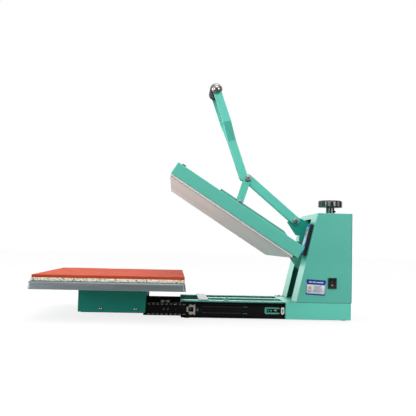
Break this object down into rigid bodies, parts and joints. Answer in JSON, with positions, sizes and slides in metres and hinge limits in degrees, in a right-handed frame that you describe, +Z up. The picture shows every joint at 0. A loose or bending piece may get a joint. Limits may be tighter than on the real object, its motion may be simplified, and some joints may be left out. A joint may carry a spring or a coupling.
{
  "type": "slide-out heat press",
  "caption": "Clamshell heat press with a slide-out lower platen, a hinged heated upper platen, a toggle lever, a pressure knob and a rear housing.",
  "frame": {"origin": "middle of the footprint, on the floor", "axes": "+Z up, +Y from the drawer end to the housing, +X to the operator's right"},
  "size_m": [0.518, 0.9032, 0.7043],
  "materials": {
    "teal_paint": "satin powder coat",
    "lever_paint": "satin powder coat",
    "dark_paint": "satin powder coat",
    "zinc": "bright zinc plate",
    "bolt_steel": "polished",
    "black_steel": "black zinc",
    "aluminium": "brushed",
    "plate_coating": "non-stick coated, matt",
    "black_plastic": "moulded",
    "white_plastic": "moulded",
    "label_print": "printed film",
    "panel_blue": "printed film",
    "grip_rubber": "smooth",
    "foot_rubber": "moulded",
    "silicone": "matt open-cell silicone",
    "foam": "speckled bonded foam",
    "board": "pressed fibre board"
  },
  "bodies": {
    "frame": {"base_rail_left": "teal_paint", "base_rail_right": "teal_paint", "base_centre_bar": "teal_paint", "base_cross_bar": "zinc", "base_box": "teal_paint", "foot_front_left": "foot_rubber", "foot_front_right": "foot_rubber", "foot_rear_left": "foot_rubber", "foot_rear_right": "foot_rubber", "housing_shell": "teal_paint", "rear_panel": "teal_paint", "frame_plate_left": "teal_paint", "frame_plate_right": "teal_paint", "hinge_shaft": "bolt_steel", "relay_module": "black_plastic", "switch_bezel": "black_plastic", "rating_label": "label_print", "power_inlet": "black_plastic", "controller_case": "black_plastic", "controller_panel": "panel_blue", "slide_outer_left": "black_steel", "slide_outer_right": "black_steel", "slide_bumper_left": "white_plastic", "slide_bumper_right": "white_plastic"},
    "power_rocker": {"power_rocker": "black_plastic"},
    "button_1": {"controller_button_1": "white_plastic"},
    "button_2": {"controller_button_2": "white_plastic"},
    "button_3": {"controller_button_3": "white_plastic"},
    "upper_platen": {"carrier_beam": "teal_paint", "beam_end_cap": "black_plastic", "heat_cover": "teal_paint", "heating_plate": "plate_coating", "insulation_board": "board", "cover_cap_front_left": "black_plastic", "cover_cap_front_right": "black_plastic", "cover_cap_rear_left": "black_plastic", "cover_cap_rear_right": "black_plastic"},
    "pressure_bracket": {"pressure_bracket": "dark_paint", "lever_pivot_bolt": "bolt_steel"},
    "lever": {"lever_bar_left": "lever_paint", "lever_bar_right": "lever_paint", "lever_spacer": "zinc", "elbow_bolt": "bolt_steel", "grip": "grip_rubber", "grip_bolt": "bolt_steel"},
    "link": {"link_plate_left": "lever_paint", "link_plate_right": "lever_paint", "link_bolt_left": "bolt_steel", "link_bolt_right": "bolt_steel"},
    "pressure_knob": {"pressure_knob": "black_plastic", "pressure_screw": "black_steel"},
    "drawer": {"drawer_bracket": "dark_paint", "lower_platen": "aluminium", "foam_pad": "foam", "silicone_pad": "silicone", "slide_inner_left": "black_steel", "slide_inner_right": "black_steel"},
    "slide_middle_left": {"slide_middle_left": "black_steel"},
    "slide_middle_right": {"slide_middle_right": "black_steel"}
  },
  "joints": [
    {"name": "upper_platen_hinge", "type": "hinge", "parent": "frame", "child": "upper_platen", "pos_m": [0, 0.3408, 0.137], "axis": [1, 0, 0], "range_deg": [0, 32.6]},
    {"name": "lever_pivot", "type": "hinge", "parent": "pressure_bracket", "child": "lever", "pos_m": [0, 0.3023, 0.2911], "axis": [1, 0, 0], "range_deg": [0, 53.8]},
    {"name": "link_pivot", "type": "hinge", "parent": "lever", "child": "link", "pos_m": [0, 0.1536, 0.417], "axis": [1, 0, 0], "range_deg": [-87.31, 0]},
    {"name": "pressure_knob_turn", "type": "hinge", "parent": "frame", "child": "pressure_knob", "pos_m": [0, 0.4138, 0.34], "axis": [0, 0, 1], "range_deg": [-1082, 1082]},
    {"name": "pressure_slide", "type": "slide", "parent": "frame", "child": "pressure_bracket", "axis": [0, 0, 1], "range_m": [-0.006, 0.006]},
    {"name": "drawer_slide", "type": "slide", "parent": "frame", "child": "drawer", "axis": [0, 1, 0], "range_m": [0, 0.28]},
    {"name": "slide_left_travel", "type": "slide", "parent": "frame", "child": "slide_middle_left", "axis": [0, 1, 0], "range_m": [0, 0.0999]},
    {"name": "slide_right_travel", "type": "slide", "parent": "frame", "child": "slide_middle_right", "axis": [0, 1, 0], "range_m": [0, 0.0999]},
    {"name": "power_rocker_tilt", "type": "hinge", "parent": "frame", "child": "power_rocker", "pos_m": [0.125, 0.3925, 0.1087], "axis": [0, 1, 0], "range_deg": [-16, 0]},
    {"name": "button_1_press", "type": "slide", "parent": "frame", "child": "button_1", "axis": [0, 0.9735, -0.2288], "range_m": [0, 0.0008], "stiffness_N_per_m": 600, "springref_m": -0.0008},
    {"name": "button_2_press", "type": "slide", "parent": "frame", "child": "button_2", "axis": [0, 0.9735, -0.2288], "range_m": [0, 0.0008], "stiffness_N_per_m": 600, "springref_m": -0.0008},
    {"name": "button_3_press", "type": "slide", "parent": "frame", "child": "button_3", "axis": [0, 0.9735, -0.2288], "range_m": [0, 0.0008], "stiffness_N_per_m": 600, "springref_m": -0.0008}
  ],
  "couplings": [
    {"joint": "lever_pivot", "follows": "upper_platen_hinge", "ratio": 1.6496},
    {"joint": "link_pivot", "follows": "upper_platen_hinge", "ratio": -2.6775},
    {"joint": "pressure_knob_turn", "follows": "pressure_slide", "rad_per_m": 3141.6},
    {"joint": "slide_left_travel", "follows": "drawer_slide", "ratio": 0.356},
    {"joint": "slide_right_travel", "follows": "drawer_slide", "ratio": 0.356}
  ]
}
